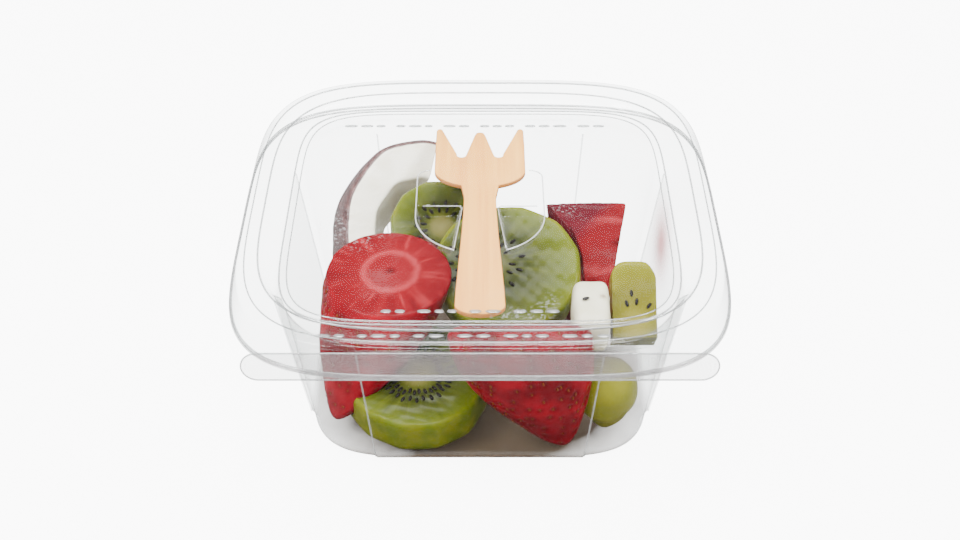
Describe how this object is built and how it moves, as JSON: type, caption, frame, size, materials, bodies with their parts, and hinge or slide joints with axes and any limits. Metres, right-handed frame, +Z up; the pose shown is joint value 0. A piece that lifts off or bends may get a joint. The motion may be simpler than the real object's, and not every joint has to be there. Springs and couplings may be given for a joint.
{
  "type": "clear tub of cut fruit with a wooden fork",
  "caption": "Shut clear plastic tub of cut strawberry, kiwi and coconut, with a wooden fork held under its lid and a pull-tab tear strip.",
  "frame": {"origin": "centre of the pack's outline, at the underside of the tub, on the surface it stands on", "axes": "+Z up, -Y towards the tear strip at the front, +X to the right seen from the front"},
  "size_m": [0.1452, 0.1478, 0.06],
  "materials": {
    "clear_plastic": "clear, gloss",
    "birch": "sanded, unvarnished",
    "strawberry": "moist fruit",
    "kiwi": "moist fruit",
    "coconut": "moist fruit"
  },
  "bodies": {
    "root": {"tub": "clear_plastic", "lid": "clear_plastic", "tear_strip": "clear_plastic", "fork": "birch", "strawberry_left": "strawberry", "strawberry_front": "strawberry", "strawberry_back": "strawberry", "kiwi_front": "kiwi", "kiwi_middle": "kiwi", "kiwi_back": "kiwi", "kiwi_right": "kiwi", "kiwi_low": "kiwi", "coconut_wedge": "coconut", "coconut_chunk": "coconut"}
  },
  "joints": []
}
